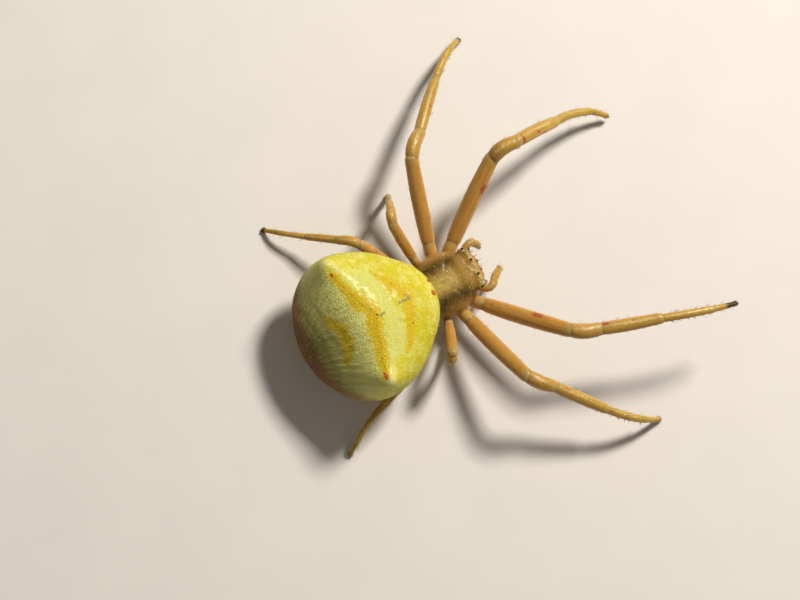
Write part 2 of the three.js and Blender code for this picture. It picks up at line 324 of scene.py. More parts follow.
@dataclass(frozen=True)
class LemonSkin:
    """Soft stretched skin over guanine: opaque yellow and finely pitted, with painted white sparkle
    highlights for the sun's glints on its grains.
    """

    front: str = "C8BE22"
    rear: str = "D4D480"
    ior: float = 1.42
    roughness: float = 0.5
    pit_mm: float = 0.06
    fold_mm: float = 0.075
    sparkle_mm: float = 0.055
    mottle_mm: float = 0.45
    lump_mm: float = 0.2
    relief_mm: float = 0.046
    bleed_mm: float = 0.4
    mottle_colour: str = "DEDE86"
    fold_colour: str = "7C7E30"
    spark_colour: str = "FAF3B4"
    layers: tuple[Layer, ...] = (
        Layer("field", "CCCE6C", 0.85, 0.4, 0.35),
        Layer("shade", "4C4218", 0.95),
        Layer("haze", "C2A804", 0.9, 0.5, 0.2),
        Layer("gold", "CCB000", 0.97, 0.9, 0.12),
        Layer("ochre", "8C7000", 0.55, 0.9, 0.06),
        Layer("chalk", "D6D89A", 0.75, 0.45, 0.2),
        # Painted reflected light: a brownish-pink glow along the lower and rear edges, for light thrown back
        # onto the thin skin from below.
        Layer("rim", "9E6A44", 0.7, 0.3, 0.4),
        Layer("under", "B7A860", 0.8, 0.3, 0.5),
        Layer("grey", "74765C", 0.75, 0.95, 0.06),
        Layer("rust", "B04428", 0.95, 0.6, 0.08),
        Layer("speck", "1C160A", 0.95, 0.3, 0.05),
    )

    def material(self) -> bpy.types.Material:
        """Build the skin of the abdomen.

        Returns:
            The material.
        """
        made, tree, place = new_material("lemon_skin")
        rear = node(tree, "ShaderNodeAttribute", attribute_name="rear").outputs["Fac"]
        colour = node(tree, "ShaderNodeMix", {
            0: rear, 6: linear(self.front), 7: linear(self.rear)}, data_type="RGBA").outputs[2]
        mottle = node(tree, "ShaderNodeTexNoise", {
            "Vector": place, "Scale": per_mm(self.mottle_mm), "Detail": 6.0, "Roughness": 0.7})
        patches = node(tree, "ShaderNodeMapRange", {
            "Value": mottle.outputs["Fac"], "From Min": 0.44, "From Max": 0.62, "To Max": 0.6})
        colour = node(tree, "ShaderNodeMix", {
            0: patches.outputs["Result"], 6: colour, 7: linear(self.mottle_colour)},
            data_type="RGBA").outputs[2]
        for layer in self.layers:
            colour = layer.lay(tree, colour, place)
        course = node(tree, "ShaderNodeAttribute", attribute_name="course").outputs["Vector"]
        folds = node(tree, "ShaderNodeTexNoise", {
            "Vector": course, "Scale": 1.0 / self.fold_mm, "Detail": 4.0, "Roughness": 0.55})
        lines = node(tree, "ShaderNodeMapRange", {
            "Value": folds.outputs["Fac"], "From Min": 0.44, "From Max": 0.72, "To Max": 1.0})
        shaded = node(tree, "ShaderNodeMath", {0: lines.outputs["Result"], 1: rear}, operation="MULTIPLY")
        faded = node(tree, "ShaderNodeMath", {0: shaded.outputs[0], 1: 0.3}, operation="MULTIPLY")
        colour = node(tree, "ShaderNodeMix", {
            0: faded.outputs[0], 6: colour, 7: linear(self.fold_colour)}, data_type="RGBA").outputs[2]
        # Painted highlights: rare white specks for the sun's sparkle on the skin's grains, fewer towards the
        # shaded rear.
        sparkle_cells = node(tree, "ShaderNodeTexVoronoi", {
            "Vector": place, "Scale": per_mm(self.sparkle_mm), "Randomness": 1.0})
        chance = node(tree, "ShaderNodeSeparateColor", {"Color": sparkle_cells.outputs["Color"]})
        rare = node(tree, "ShaderNodeMapRange", {
            "Value": chance.outputs["Red"], "From Min": 0.8, "From Max": 0.9})
        core = node(tree, "ShaderNodeMapRange", {
            "Value": sparkle_cells.outputs["Distance"], "From Min": 0.42, "From Max": 0.2, "To Max": 0.8})
        sunny = node(tree, "ShaderNodeMath", {0: 1.15, 1: rear}, operation="SUBTRACT", use_clamp=True)
        spark = node(tree, "ShaderNodeMath", {
            0: rare.outputs["Result"], 1: core.outputs["Result"]}, operation="MULTIPLY")
        spark = node(tree, "ShaderNodeMath", {
            0: spark.outputs[0], 1: sunny.outputs[0]}, operation="MULTIPLY").outputs[0]
        colour = node(tree, "ShaderNodeMix", {
            0: spark, 6: colour, 7: linear(self.spark_colour)}, data_type="RGBA").outputs[2]
        pits = node(tree, "ShaderNodeTexVoronoi", {
            "Vector": place, "Scale": per_mm(self.pit_mm), "Randomness": 1.0}, feature="SMOOTH_F1")
        soft = node(tree, "ShaderNodeTexNoise", {
            "Vector": place, "Scale": per_mm(self.lump_mm), "Detail": 5.0, "Roughness": 0.65})
        height = node(tree, "ShaderNodeMath", {
            0: pits.outputs["Distance"], 1: 0.7, 2: soft.outputs["Fac"]}, operation="MULTIPLY_ADD")
        folded = node(tree, "ShaderNodeMath", {
            0: shaded.outputs[0], 1: -0.5, 2: height.outputs[0]}, operation="MULTIPLY_ADD")
        relief = node(tree, "ShaderNodeBump", {
            "Strength": 1.0, "Distance": self.relief_mm * MM, "Height": folded.outputs[0]})
        gloss = node(tree, "ShaderNodeMapRange", {
            "Value": soft.outputs["Fac"], "From Min": 0.3, "From Max": 0.7,
            "To Min": self.roughness - 0.17, "To Max": self.roughness + 0.12})
        finish_shader(tree, {
            "Base Color": colour, "Roughness": gloss.outputs["Result"], "IOR": self.ior,
            "Specular IOR Level": 0.2, "Subsurface Weight": 0.15, "Subsurface Radius": (1.0, 0.8, 0.2),
            "Subsurface Scale": self.bleed_mm * MM,
            "Coat Weight": 0.06, "Coat Roughness": 0.12, "Normal": relief.outputs["Normal"]})
        return made


@dataclass(frozen=True)
class HornCuticle:
    """Thick dark chitin of jaws, claws and spines: brown, smooth and hard, with a clear highlight."""

    name: str = "horn_cuticle"
    root: str = "8A5A20"
    tip: str = "3A2410"
    grain_mm: float = 0.08
    roughness: float = 0.3

    def material(self) -> bpy.types.Material:
        """Build a hard brown finish.

        Returns:
            The material.
        """
        made, tree, place = new_material(self.name)
        mottle = node(tree, "ShaderNodeTexNoise", {
            "Vector": place, "Scale": per_mm(self.grain_mm), "Detail": 4.0, "Roughness": 0.6})
        spread = node(tree, "ShaderNodeMapRange", {
            "Value": mottle.outputs["Fac"], "From Min": 0.35, "From Max": 0.65})
        colour = node(tree, "ShaderNodeMix", {
            0: spread.outputs["Result"], 6: linear(self.root), 7: linear(self.tip)}, data_type="RGBA")
        relief = node(tree, "ShaderNodeBump", {
            "Strength": 0.25, "Distance": 6e-6, "Height": mottle.outputs["Fac"]})
        finish_shader(tree, {
            "Base Color": colour.outputs[2], "Roughness": self.roughness, "IOR": 1.55,
            "Coat Weight": 0.3, "Coat Roughness": 0.12, "Normal": relief.outputs["Normal"]})
        return made


@dataclass(frozen=True)
class EyeLens:
    """Polished cornea over a black pigment cup: nearly black, with a sharp small highlight."""

    colour: str = "0E0B09"
    cloud_colour: str = "24180F"

    def material(self) -> bpy.types.Material:
        """Build the lens of the eyes.

        Returns:
            The material.
        """
        made, tree, place = new_material("eye_lens")
        cloud = node(tree, "ShaderNodeTexNoise", {"Vector": place, "Scale": per_mm(0.1), "Detail": 2.0})
        colour = node(tree, "ShaderNodeMix", {
            0: cloud.outputs["Fac"], 6: linear(self.colour), 7: linear(self.cloud_colour)}, data_type="RGBA")
        finish_shader(tree, {
            "Base Color": colour.outputs[2], "Roughness": 0.06, "IOR": 1.5,
            "Coat Weight": 1.0, "Coat Roughness": 0.03})
        return made


@dataclass(frozen=True)
class MuseumFloor:
    """Pale matt painted board under the model."""

    colour: str = "D6D4D2"
    cloud_colour: str = "DEDCDA"

    def material(self) -> bpy.types.Material:
        """Build the floor's finish.

        Returns:
            The material.
        """
        made, tree, place = new_material("museum_floor")
        cloud = node(tree, "ShaderNodeTexNoise", {"Vector": place, "Scale": per_mm(4.0), "Detail": 3.0})
        colour = node(tree, "ShaderNodeMix", {
            0: cloud.outputs["Fac"], 6: linear(self.colour), 7: linear(self.cloud_colour)}, data_type="RGBA")
        finish_shader(tree, {"Base Color": colour.outputs[2], "Roughness": 0.7})
        return made


def to_part(bm: bmesh.types.BMesh) -> None:
    """Move a mesh from the animal's millimetres to the part's metres."""
    bmesh.ops.translate(bm, verts=bm.verts, vec=OFFSET)
    bmesh.ops.scale(bm, verts=bm.verts, vec=(MM, MM, MM))


def object_from(bm: bmesh.types.BMesh, name: str) -> bpy.types.Object:
    """Make a smooth-shaded object of a mesh at the origin.

    Args:
        bm: the mesh, which is freed.
        name: the object's name.

    Returns:
        The object.
    """
    data = bpy.data.meshes.new(name)
    bm.to_mesh(data)
    bm.free()
    data.shade_smooth()
    made = bpy.data.objects.new(name, data)
    bpy.context.scene.collection.objects.link(made)
    return made


def declare(piece: bpy.types.Object, nodes: Iterable[str] = ()) -> bpy.types.Object:
    """Hang a finished piece on the root, hide the imported parts it stands for, and log its face count."""
    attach(piece, "root")
    names = list(nodes)
    if names:
        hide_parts(*names)
    LOG.info("%s: %d faces", piece.name, len(piece.data.polygons))
    return piece


def write_masks(piece: bpy.types.Object, masks: dict[str, np.ndarray], course: np.ndarray) -> None:
    """Store painted masks, and the direction that a pattern runs in, on a piece's vertices."""
    for name, values in masks.items():
        layer = piece.data.attributes.new(name, "FLOAT", "POINT")
        layer.data.foreach_set("value", np.clip(values, 0, 1).astype(np.float32))
    layer = piece.data.attributes.new("course", "FLOAT_VECTOR", "POINT")
    layer.data.foreach_set("vector", course.astype(np.float32).ravel())


def axes_along(start: Vector, end: Vector) -> tuple[Vector, Vector, Vector]:
    """Unit vectors to the side, along and upwards for a stretch between two points."""
    along = (end - start).normalized()
    side = along.cross(Vector((0, 0, 1))).normalized()
    return side, along, side.cross(along)


# What each vertex of a limb remembers, since the skin's own order of vertices isn't kept: the stretch
# it belongs to, its share of that stretch's length, and the cosine and sine of its angle round it.
STAMPS = ("stretch_number", "stretch_share", "stretch_side", "stretch_top")
# Rings of a sphere past this latitude make the rounded ends of a stretch.
CAP_LATITUDE = math.radians(62)


@dataclass(frozen=True)
class Spindle:
    """A round-ended stretch of limb, swollen or narrowed between its ends, and curved a little."""

    start: Vector
    end: Vector
    radii: tuple[float, float, float]
    flatness: float = 1.0
    flare: float = 0.0
    neck: float = 0.0
    bow: Vector = NO_BEND

    @property
    def length(self) -> float:
        """Length between the two ends."""
        return (self.end - self.start).length

    def radius(self, t):
        """Radius at a share t of the length."""
        r0, r1, r2 = self.radii
        belly = (r1 - (r0 + r2) / 2) * (1 - np.abs(2 * t**0.9 - 1) ** 2.6)
        curve = r0 * (1 - t) + r2 * t + belly
        reach = t * self.length
        lip = 1 + self.flare * bump(reach - self.length + 0.1, 0.1)
        return curve * lip * (1 - self.neck * bump(reach, 0.1))

    def build(self, bm: bmesh.types.BMesh, around: int = 20, lengthwise: int = 44, number: int = 0) -> None:
        """Add the stretch to a mesh.

        Args:
            bm: the mesh to add to; where it has the stamps' layers, they are filled in.
            around: points round the limb.
            lengthwise: rings from end to end.
            number: the stretch's number for its stamp.
        """
        made = bmesh.ops.create_uvsphere(bm, u_segments=around, v_segments=lengthwise, radius=1.0)
        side, along, up = axes_along(self.start, self.end)
        d = np.array([v.co for v in made["verts"]])
        latitude = np.arcsin(np.clip(d[:, 2], -1, 1))
        turn = np.arctan2(d[:, 1], d[:, 0])
        t = np.clip((latitude + CAP_LATITUDE) / (2 * CAP_LATITUDE), 0, 1)
        past = np.clip((np.abs(latitude) - CAP_LATITUDE) / (math.pi / 2 - CAP_LATITUDE), 0, 1) * math.pi / 2
        r = self.radius(t)
        s = t * self.length + np.sign(latitude) * np.sin(past) * r
        ring = r * np.cos(past)
        places = (np.array(self.start) + np.outer(ring * np.cos(turn), side) + np.outer(s, along)
                  + np.outer(ring * np.sin(turn) * self.flatness, up)
                  + np.outer(np.sin(np.pi * t), self.bow))
        for vert, place in zip(made["verts"], places):
            vert.co = place
        layers = [bm.verts.layers.float.get(name) for name in STAMPS]
        if all(layers):
            for vert, *values in zip(made["verts"], t, np.cos(turn), np.sin(turn)):
                for layer, value in zip(layers, (number, *values)):
                    vert[layer] = value

    def point(self, t: float, turn: float) -> tuple[Vector, Vector]:
        """A place on the surface and the direction straight out of it.

        Args:
            t: share of the length.
            turn: angle round the stretch, from its side towards its top.

        Returns:
            The place and the unit direction.
        """
        side, _, up = axes_along(self.start, self.end)
        out = side * math.cos(turn) + up * math.sin(turn)
        flat = side * math.cos(turn) + up * math.sin(turn) * self.flatness
        middle = self.start.lerp(self.end, t) + self.bow * math.sin(math.pi * t)
        return middle + flat * float(self.radius(t)), out


@dataclass(frozen=True)
class Segment:
    """One stretch of a leg or palp, for shaping and for painting."""

    kind: str
    spindle: Spindle
    before: float
    tone: float


@dataclass(frozen=True)
class LegPair:
    """Sizes that the left and right leg of a pair share."""

    hip: tuple[float, float, float]
    lengths: tuple[float, ...]
    radii: tuple[tuple[float, float, float], ...]


@dataclass(frozen=True)
class Stance:
    """Pose of one leg: joint heights, and headings in degrees from ahead towards the left."""

    name: str
    pair: int
    side: Side
    heights: tuple[float, ...]
    headings: tuple[float, ...]


FOOT = 0.1
PAIRS: dict[int, LegPair] = {
    1: LegPair((1.25, -0.7, 1.5), (4.95, 1.45, 2.9, 2.6, 1.2), (
        (0.33, 0.39, 0.34), (0.33, 0.36, 0.31), (0.29, 0.31, 0.25), (0.2, 0.2, 0.17), (0.15, 0.14, 0.1))),
    2: LegPair((1.55, 0.0, 1.5), (4.6, 1.45, 2.9, 2.5, 1.2), (
        (0.32, 0.37, 0.32), (0.31, 0.34, 0.29), (0.26, 0.28, 0.23), (0.19, 0.19, 0.16), (0.14, 0.13, 0.11))),
    3: LegPair((1.6, 0.8, 1.4), (2.3, 0.75, 1.2, 0.9, 0.7), (
        (0.23, 0.26, 0.24), (0.23, 0.24, 0.21), (0.19, 0.19, 0.16), (0.15, 0.14, 0.13), (0.12, 0.12, 0.11))),
    4: LegPair((1.15, 1.45, 1.3), (2.8, 1.05, 1.6, 1.45, 0.8), (
        (0.22, 0.26, 0.24), (0.23, 0.24, 0.21), (0.19, 0.19, 0.16), (0.14, 0.13, 0.12), (0.12, 0.11, 0.1))),
}
STANCES: tuple[Stance, ...] = (
    Stance("leg_left_1", 1, Side.LEFT, (3.5, 4.0, 2.5, 1.1, 0.4), (38, 6, 4, -4, -30)),
    Stance("leg_left_2", 2, Side.LEFT, (3.15, 2.9, 2.1, 0.95, FOOT), (77, 45, 43, 35, 20)),
    Stance("leg_left_3", 3, Side.LEFT, (2.65, 2.6, 1.55, 0.72, FOOT), (102, 68, 53, 48, 38)),
    Stance("leg_left_4", 4, Side.LEFT, (2.1, 1.9, 1.15, 0.6, FOOT), (122, 138, 140, 139, 132)),
    Stance("leg_right_1", 1, Side.RIGHT, (3.6, 3.65, 3.85, 3.8, 3.6), (-51, -26, -18, -17, -12)),
    Stance("leg_right_2", 2, Side.RIGHT, (3.4, 3.1, 2.15, 0.95, FOOT), (-80, -46, -46, -35, -15)),
    Stance("leg_right_3", 3, Side.RIGHT, (2.9, 2.2, 1.15, 0.6, FOOT), (-121, -110, 40, 60, 60)),
    Stance("leg_right_4", 4, Side.RIGHT, (0.95, 1.25, 1.15, 0.7, FOOT), (-143, -150, -160, -150, -145)),
)
SEGMENT_NAMES = ("femur", "patella", "tibia", "metatarsus", "tarsus")
SEGMENT_TONES = (0.0, 0.4, 0.6, 0.9, 1.0)
SEGMENT_CURVES = (0.15, 1.1, 0.4, 0.8, 0.5)
PALPS: dict[str, tuple[tuple[float, float, float], ...]] = {
    "palp_left": ((0.98, -1.42, 1.5), (1.2, -1.82, 1.6), (1.15, -2.12, 1.35), (0.95, -2.38, 0.88)),
    "palp_right": ((-0.98, -1.4, 1.6), (-1.1, -1.72, 1.72), (-0.8, -2.12, 1.5), (-0.42, -2.74, 1.02)),
}
PALP_RADII = (0.16, 0.18, 0.17, 0.12)


def curved(joints: Sequence[Vector], i: int, share: float = 0.8) -> Vector:
    """How far the stretch from joint i to the next bulges, so that the limb bends as one curve.

    Args:
        joints: the joints of the limb in order.
        i: number of the stretch's first joint.
        share: part of a full arc's height.

    Returns:
        The bulge in the middle of the stretch.
    """
    own = (joints[i + 1] - joints[i]).normalized()
    last = (joints[i] - joints[i - 1]).normalized() if i > 0 else own
    after = (joints[i + 2] - joints[i + 1]).normalized() if i + 2 < len(joints) else own
    turn = last - after
    turn -= own * turn.dot(own)
    return turn * ((joints[i + 1] - joints[i]).length / 8 * share)


@dataclass(frozen=True)
class LimbSpot:
    """A brick-red patch on a leg: segment, share of its length, sideways place in radii, and size."""

    kind: str
    along: float
    sideways: float
    size: tuple[float, float]


RUST_SPOTS: dict[str, tuple[LimbSpot, ...]] = {
    "leg_left_1": (LimbSpot("femur", 0.67, 0.8, (0.29, 0.19)), LimbSpot("tibia", 0.06, 0.4, (0.13, 0.32)),
                   LimbSpot("tibia", 0.42, 0.45, (0.13, 0.1))),
    "leg_left_2": (LimbSpot("tibia", 0.5, 0.5, (0.08, 0.06)),),
    "leg_right_1": (LimbSpot("femur", 0.64, -0.45, (0.32, 0.16)), LimbSpot("tibia", 0.1, -0.5, (0.2, 0.12)),
                    LimbSpot("tibia", 0.55, -0.3, (0.1, 0.06))),
    "leg_right_2": (LimbSpot("tibia", 0.2, -0.3, (0.12, 0.06)), LimbSpot("patella", 0.5, 0.2, (0.08, 0.05))),
}


DARK_FEET = ("leg_right_1", "leg_left_2", "leg_left_4")


@dataclass
class Coat:
    """Bristles, spines and claws of one kind, joined in one mesh with their places on the skin's unwrap."""

    name: str
    slot: str
    seed: int
    patch: float = 0.003
    batch: int = 40

    def __post_init__(self) -> None:
        """Start the joined mesh, the first batch and the seeded draw."""
        self.joined = bmesh.new()
        self.joined.loops.layers.uv.new("OFBake")
        self.draw = random.Random(self.seed)
        self.grown = 0
        self.start_batch()

    def start_batch(self) -> None:
        """Start a small mesh, as an operator slows down with all that its mesh already holds."""
        self.bm = bmesh.new()
        self.uv = self.bm.loops.layers.uv.new("OFBake")

    def close_batch(self) -> None:
        """Move the batch into the joined mesh."""
        data = bpy.data.meshes.new("batch")
        self.bm.to_mesh(data)
        self.bm.free()
        self.joined.from_mesh(data)
        bpy.data.meshes.remove(data)

    def add(self, root: Vector, lean: Vector, length: float, radius: float, spot: tuple[float, float],
            droop: Vector = NO_BEND, sides: int = 4) -> None:
        """Grow one bristle.

        Args:
            root: its place on the skin.
            lean: unit direction it points in.
            length: its length.
            radius: its radius at the root.
            spot: the root's place on the skin's unwrap.
            droop: how far its middle bends aside.
            sides: faces round it.
        """
        start = root - lean * radius * 1.5
        if abs(lean.z) > 0.999:
            lean = (lean + Vector((0.05, 0, 0))).normalized()
        end = start + lean * (length + radius * 1.5)
        spindle = Spindle(start, end, (radius, radius * 0.8, radius * 0.12), bow=droop)
        for face in self.bm.faces:
            face.tag = True
        spindle.build(self.bm, sides, 5)
        for face in self.bm.faces:
            if face.tag:
                continue
            for k, loop in enumerate(face.loops):
                turn = k * math.tau / len(face.loops)
                loop[self.uv].uv = (spot[0] + self.patch / 2 * math.cos(turn),
                                    spot[1] + self.patch / 2 * math.sin(turn))
        self.grown += 1
        if self.grown % self.batch == 0:
            self.close_batch()
            self.start_batch()

    def finish(self, material: bpy.types.Material) -> bpy.types.Object:
        """Turn the bristles into a finished piece."""
        self.close_batch()
        for vert in self.joined.verts:
            vert.co.z = max(vert.co.z, 0.004)
        to_part(self.joined)
        piece = object_from(self.joined, self.name)
        piece.data.materials.append(material)
        return declare(piece)


@dataclass
class Limb:
    """One leg or palp from the joint after its coxa to the tip."""

    name: str
    segments: list[Segment]
    number: int
    around: int = 32
    rings_per_mm: float = 15.0
    hair_length: tuple[float, float] = (0.12, 0.24)
    hair_radius: tuple[float, float] = (0.006, 0.009)
    spine_length: tuple[float, float] = (0.24, 0.34)
    spine_radius: float = 0.022
    claw_size: tuple[float, float] = (0.12, 0.02)
    tuft_length: tuple[float, float] = (0.08, 0.13)
    tuft_radius: float = 0.007
    foot_hairs: int = 36
    palp_hairs: int = 22
    spine_rows: ClassVar[dict[str, int]] = {"tibia": 5, "metatarsus": 6}

    @classmethod
    def leg(cls, stance: Stance, number: int) -> "Limb":
        """Work out the stretches of one leg from its pair's sizes and its pose.

        Args:
            stance: the leg's pose.
            number: its place in the unwrap.

        Returns:
            The leg: trochanter, femur, patella, tibia, metatarsus and tarsus.
        """
        pair = PAIRS[stance.pair]
        hip = Vector(pair.hip)
        hip.x *= stance.side.value
        joints = [hip]
        for length, height, heading in zip(pair.lengths, stance.heights, stance.headings):
            last = joints[-1]
            run = math.sqrt(length**2 - (height - last.z) ** 2)
            turn = math.radians(heading)
            joints.append(Vector((last.x + run * math.sin(turn), last.y - run * math.cos(turn), height)))
        trochanter = hip.lerp(joints[1], 0.12)
        first = pair.radii[0][0]
        ball = Spindle(hip, trochanter, (first * 0.84, first * 0.96, first * 0.9))
        made = [Segment("trochanter", ball, 0.0, 0.0)]
        before = (trochanter - hip).length
        for i, (kind, radii) in enumerate(zip(SEGMENT_NAMES, pair.radii)):
            start = trochanter if i == 0 else joints[i]
            bow = curved([trochanter, *joints[1:]], i, SEGMENT_CURVES[i])
            spindle = Spindle(start, joints[i + 1], radii, 0.88 if i == 0 else 0.95, 0.05, 0.07, bow)
            made.append(Segment(kind, spindle, before, SEGMENT_TONES[i]))
            before += (joints[i + 1] - start).length
        return cls(stance.name, made, number)

    @classmethod
    def palp(cls, name: str, number: int) -> "Limb":
        """Work out the three stretches of one palp."""
        path = [Vector(p) for p in PALPS[name]]
        made, before = [], 0.0
        for i in range(len(path) - 1):
            radii = (PALP_RADII[i], PALP_RADII[i] + 0.01, PALP_RADII[i + 1])
            spindle = Spindle(path[i], path[i + 1], radii, 1.0, 0.03, 0.04, curved(path, i, 1.0))
            made.append(Segment("palp", spindle, before, 0.15 * (i + 1)))
            before += (path[i + 1] - path[i]).length
        return cls(name, made, number)

    def paint(self, piece: bpy.types.Object, stamps: np.ndarray) -> None:
        """Write the limb's markings, its painted highlights and painted light at its edges, and the course
        of its streaks, on its vertices.

        Args:
            piece: the finished skin.
            stamps: for each vertex the stretch's number, the share of its length, and its angle's
                cosine and sine.
        """
        number, t, side, top = stamps
        index = number.astype(int)
        kinds = np.array([segment.kind for segment in self.segments])[index]
        length = np.array([segment.spindle.length for segment in self.segments])[index]
        before = np.array([segment.before for segment in self.segments])[index]
        tone = np.array([segment.tone for segment in self.segments])[index] + 0.15 * t
        radius = np.zeros(len(t))
        for i, segment in enumerate(self.segments):
            radius = np.where(index == i, segment.spindle.radius(t), radius)
        reach = t * length
        ring = np.maximum(bump(reach, 0.14), bump(reach - length, 0.12))
        # Pale chitin at the joints and over the trochanter, a real paler colour, made stronger on the top of
        # the limb as a painted highlight.
        strength = np.select(
            [kinds == "trochanter", kinds == "tarsus", kinds == "palp"], [0.3, 0.0, 0.2], 0.32)
        pale = np.maximum(strength * ring, 0.4 * (kinds == "trochanter")) * (0.55 + 0.45 * top)
        shiny = np.isin(kinds, ("patella", "tibia", "metatarsus")) if self.name.startswith("leg") else 0.0
        glint = 0.36 * shiny * bump(side + 0.1, 0.3) * (top > 0) * np.sin(np.pi * t) ** 0.4
        rust = np.zeros(len(t))
        for spot in RUST_SPOTS.get(self.name, ()):
            away = ((t - spot.along) * length / spot.size[0]) ** 2
            across = ((side - spot.sideways) * radius / spot.size[1]) ** 2
            rust = np.maximum(rust, np.exp(-(away + across)) * (kinds == spot.kind) * (top > -0.4))
        smoke = step(t, 0.72, 0.95) * (0.85 if self.name in DARK_FEET else 0.2) * (kinds == "tarsus")
        if self.name == "leg_right_1":
            smoke = step(t, 0.2, 0.8) * 0.85 * (kinds == "tarsus")
        if self.name.startswith("palp"):
            smoke = step(t, 0.6, 1.0) * 0.35 * (index == len(self.segments) - 1)
        course = np.stack([(before + reach) * 0.07 + self.number * 3.1, side * radius, top * radius], 1)
        # The mask for the two sides of each stretch is painted light showing through the thin chitin there;
        # glint is a painted highlight along the top.
        masks = {"tone": tone, "pale": pale, "rust": rust, "smoke": smoke, "glint": glint,
                 "edge_glow": bump(np.abs(side) - 1.0, 0.3) * (top > -0.7)}
        write_masks(piece, masks, course)

    def build(self, material: bpy.types.Material) -> bpy.types.Object:
        """Make and dress the limb.

        Args:
            material: its finish.

        Returns:
            The finished piece.
        """
        bm = bmesh.new()
        for name in STAMPS:
            bm.verts.layers.float.new(name)
        for i, segment in enumerate(self.segments):
            segment.spindle.build(bm, self.around, int(10 + segment.spindle.length * self.rings_per_mm), i)
        layers = [bm.verts.layers.float.get(name) for name in STAMPS]
        stamps = np.array([[vert[layer] for layer in layers] for vert in bm.verts]).T
        for name in STAMPS:
            bm.verts.layers.float.remove(bm.verts.layers.float.get(name))
        for vert in bm.verts:
            vert.co.z = max(vert.co.z, 0.0)
        to_part(bm)
        piece = object_from(bm, f"{self.name}_skin")
        self.paint(piece, stamps)
        piece.data.materials.append(material)
        return declare(piece, [self.name])

    def unwrap(self, segment: Segment, t: float, turn: float) -> tuple[float, float]:
        """Place of a point of the limb on its strip of the unwrap."""
        total = self.segments[-1].before + self.segments[-1].spindle.length
        return ((self.number + 0.1 + 0.8 * (turn % math.tau) / math.tau) / 12,
                0.02 + 0.94 * (segment.before + t * segment.spindle.length) / total)

    def grow_hairs(self, coat: Coat, per_mm_length: float) -> None:
        """Scatter fine bristles that lie towards the tip.

        Args:
            coat: the mesh they are joined in.
            per_mm_length: how many for each millimetre of limb.
        """
        for segment in self.segments:
            spindle = segment.spindle
            _, along, _ = axes_along(spindle.start, spindle.end)
            fine = segment.kind in ("metatarsus", "tarsus", "palp")
            count = int(spindle.length * per_mm_length * (1.7 if fine else 1.0))
            for _ in range(count):
                t, turn = coat.draw.uniform(0.03, 0.97), coat.draw.uniform(0, math.tau)
                root, out = spindle.point(t, turn)
                lean = (along + out * coat.draw.uniform(0.45, 0.9)).normalized()
                length = coat.draw.uniform(*self.hair_length) * (1.15 if fine else 1.0)
                coat.add(root, lean, length, coat.draw.uniform(*self.hair_radius),
                         self.unwrap(segment, t, turn), out * length * 0.12, 3)

    def grow_spines(self, coat: Coat) -> None:
        """Set the paired spines under tibia and metatarsus."""
        for segment in self.segments:
            if segment.kind not in self.spine_rows:
                continue
            spindle = segment.spindle
            _, along, _ = axes_along(spindle.start, spindle.end)
            rows = self.spine_rows[segment.kind]
            for i in range(rows):
                for share in (-0.35, -0.65):
                    t = 0.2 + 0.7 * i / (rows - 1) + coat.draw.uniform(-0.02, 0.02)
                    turn = math.pi * share + coat.draw.uniform(-0.1, 0.1)
                    root, out = spindle.point(t, turn)
                    lean = (along * 0.8 + out).normalized()
                    length = coat.draw.uniform(*self.spine_length)
                    spot = self.unwrap(segment, t, turn)
                    coat.add(root, lean, length, self.spine_radius, spot, out * 0.03, 6)

    def grow_claws(self, coat: Coat) -> None:
        """Set the claws and the dense tuft at the tip."""
        tip = self.segments[-1].spindle
        side, along, up = axes_along(tip.start, tip.end)
        end = tip.end + along * tip.radii[2] * 0.7
        if self.name.startswith("leg"):
            for sign in (1, -1):
                lean = (along + side * 0.25 * sign - up * 0.4).normalized()
                spot = self.unwrap(self.segments[-1], 0.99, 0.0)
                coat.add(end + side * 0.03 * sign, lean, *self.claw_size, spot, up * 0.03, 6)
        for _ in range(self.foot_hairs if self.name.startswith("leg") else self.palp_hairs):
            turn = coat.draw.uniform(0, math.tau)
            t = coat.draw.uniform(0.8, 1.0)
            root, out = tip.point(t, turn)
            lean = (along + out * coat.draw.uniform(0.1, 0.4)).normalized()
            spot = self.unwrap(self.segments[-1], t, turn)
            coat.add(root, lean, coat.draw.uniform(*self.tuft_length), self.tuft_radius, spot, out * 0.01, 3)


